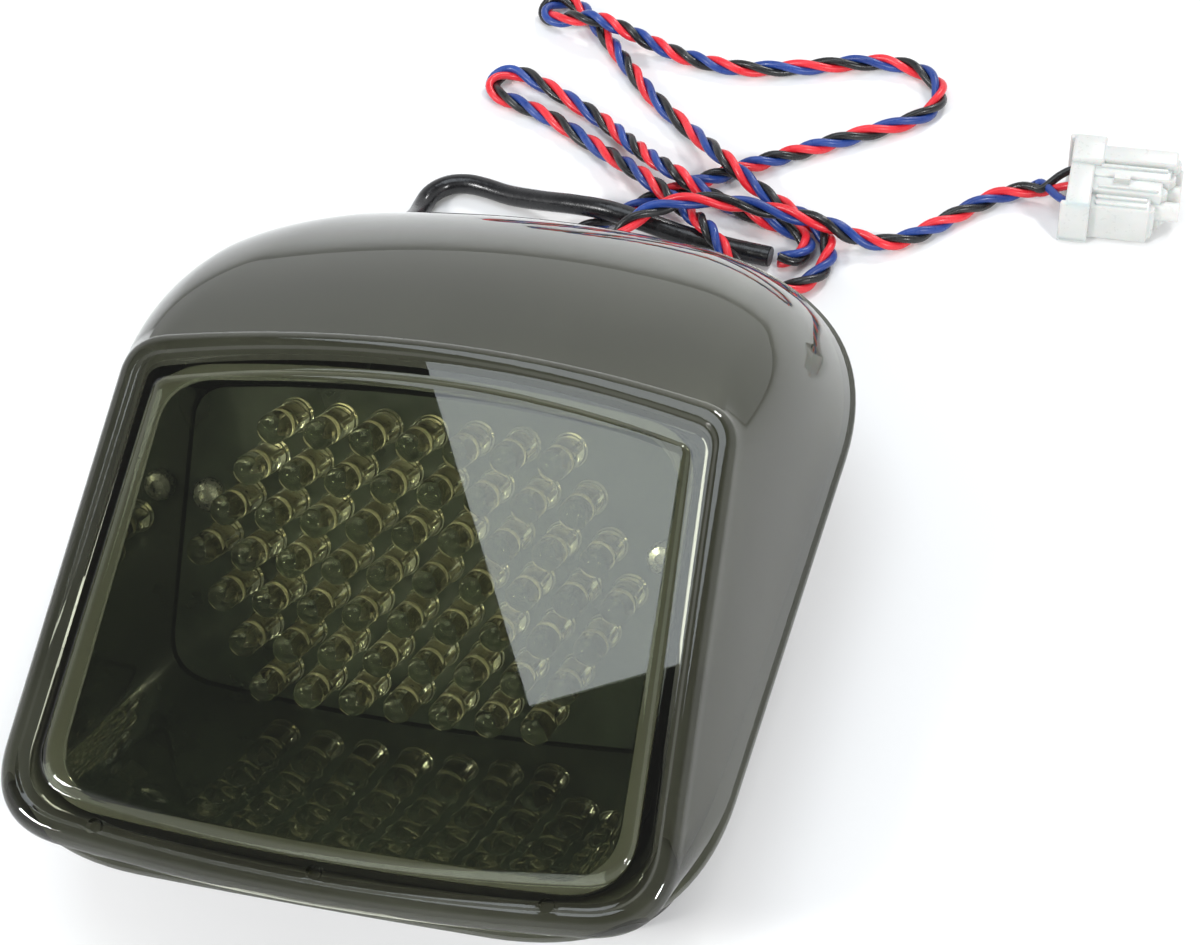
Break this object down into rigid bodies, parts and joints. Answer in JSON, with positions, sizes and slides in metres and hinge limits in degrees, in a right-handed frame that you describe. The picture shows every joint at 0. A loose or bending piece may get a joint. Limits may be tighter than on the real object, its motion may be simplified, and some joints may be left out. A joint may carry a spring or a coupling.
{
  "type": "tail light",
  "caption": "Wedge-shaped motorcycle tail light: smoked lens over a black light box with a slanted LED board, rear housing, and a sleeved twisted lead to a nylon connector.",
  "frame": {"origin": "on the back face of the rear housing, under the centre of the lens rim", "axes": "+Z out through the lens, away from the back face; +Y from the low lip of the lens towards its tall end, where the lead comes out; +X to the right when the lens is seen from outside with its tall end up"},
  "size_m": [0.1737, 0.2387, 0.0627],
  "materials": {
    "lens": "gloss",
    "light_box": "gloss",
    "seal": "matte",
    "housing": "matte",
    "insert": "machined",
    "board": "satin",
    "screw": "satin",
    "led": "gloss",
    "resistor": "satin",
    "component": "satin",
    "nylon": "satin",
    "sleeve": "satin",
    "grommet": "matte",
    "twisted_wires": "satin",
    "wire_black": "satin",
    "wire_red": "satin",
    "wire_blue": "satin",
    "contact": "tinned"
  },
  "bodies": {
    "root": {"lens": "lens", "light_box": "light_box", "lens_seal": "seal", "rear_housing": "housing", "mounting_insert_left": "insert", "mounting_insert_right": "insert", "led_board": "board", "board_screw_left": "screw", "board_screw_right": "screw", "led_row_1": "led", "led_row_2": "led", "led_row_3": "led", "led_row_4": "led", "led_row_5": "led", "led_row_6": "led", "led_row_7": "led", "resistor_1": "resistor", "resistor_2": "resistor", "resistor_3": "resistor", "resistor_4": "resistor", "polarity_diode": "component", "current_regulator": "component", "wire_terminal": "nylon", "connector_housing": "nylon", "connector_lock": "nylon", "inner_lead": "sleeve", "cable_sleeve": "sleeve", "cable_grommet": "grommet", "twisted_cord": "twisted_wires", "wire_black": "wire_black", "wire_red": "wire_red", "wire_blue": "wire_blue", "terminal_black": "contact", "terminal_red": "contact", "terminal_blue": "contact"}
  },
  "joints": []
}
